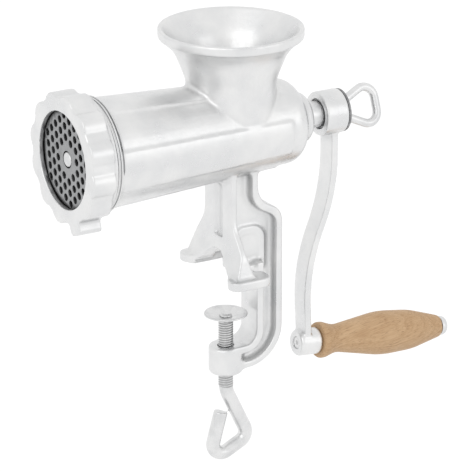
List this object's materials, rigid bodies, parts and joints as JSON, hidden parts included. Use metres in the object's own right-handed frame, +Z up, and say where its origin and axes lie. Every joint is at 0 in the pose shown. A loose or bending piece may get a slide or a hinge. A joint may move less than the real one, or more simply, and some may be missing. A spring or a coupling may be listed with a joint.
{
  "type": "hand crank meat grinder",
  "caption": "Table-clamp meat grinder in tinned cast iron: hopper on a barrel with auger, knife, holed plate and lobed ring nut, bent crank with wooden grip, screw clamp with wire loop.",
  "frame": {"origin": "on the clamp screw's axis, in the plane of the feet that rest on the table top", "axes": "+Z up along the clamp screw, +X from the outlet towards the crank, +Y away from the side that the picture shows"},
  "size_m": [0.2626, 0.0848, 0.2694],
  "materials": {
    "tinned_iron": "bright tinned casting with a fine grain",
    "bright_steel": "bright plated",
    "tool_steel": "ground",
    "dark_steel": "dull",
    "white_nylon": "matte",
    "beech": "satin"
  },
  "bodies": {
    "frame": {"body_casting": "tinned_iron", "plate_key_pin": "bright_steel", "thrust_washer": "white_nylon"},
    "drive": {"auger": "tinned_iron", "auger_stud": "bright_steel", "cross_knife": "tool_steel", "crank_arm": "tinned_iron", "handle_spindle": "bright_steel"},
    "grip": {"wooden_grip": "beech"},
    "plate": {"grinding_plate": "tool_steel"},
    "ring": {"ring_nut": "tinned_iron"},
    "pad": {"clamp_pad": "bright_steel"},
    "clamp": {"clamp_screw": "bright_steel"},
    "thumb_washer": {"thumb_screw_washer": "dark_steel"},
    "thumb": {"thumb_screw": "bright_steel"}
  },
  "joints": [
    {"name": "crank_turn", "type": "hinge", "parent": "frame", "child": "drive", "pos_m": [0, 0, 0.0875], "axis": [-1, 0, 0], "continuous": true},
    {"name": "grip_spin", "type": "hinge", "parent": "drive", "child": "grip", "pos_m": [0.0484, 0, -0.0548], "axis": [0.9959, 0, -0.0906], "continuous": true},
    {"name": "plate_slide", "type": "slide", "parent": "frame", "child": "plate", "axis": [-1, 0, 0], "range_m": [0, 0.0091]},
    {"name": "ring_turn", "type": "hinge", "parent": "plate", "child": "ring", "pos_m": [0, 0, 0.0875], "axis": [-1, 0, 0], "range_deg": [0, 1620]},
    {"name": "pad_slide", "type": "slide", "parent": "frame", "child": "pad", "axis": [0, 0, 1], "range_m": [-0.0151, 0.01135]},
    {"name": "clamp_turn", "type": "hinge", "parent": "pad", "child": "clamp", "pos_m": [0, 0, 0], "axis": [0, 0, 1], "range_deg": [-3600, 2700]},
    {"name": "thumb_washer_slide", "type": "slide", "parent": "drive", "child": "thumb_washer", "axis": [1, 0, 0], "range_m": [0, 0.0101]},
    {"name": "thumb_turn", "type": "hinge", "parent": "thumb_washer", "child": "thumb", "pos_m": [0, 0, 0.0875], "axis": [1, 0, 0], "range_deg": [0, 3600]}
  ],
  "couplings": [
    {"joint": "plate_slide", "follows": "ring_turn", "m_per_rad": 0.00031831},
    {"joint": "pad_slide", "follows": "clamp_turn", "m_per_rad": 0.00023873},
    {"joint": "thumb_washer_slide", "follows": "thumb_turn", "m_per_rad": 0.00015915}
  ]
}
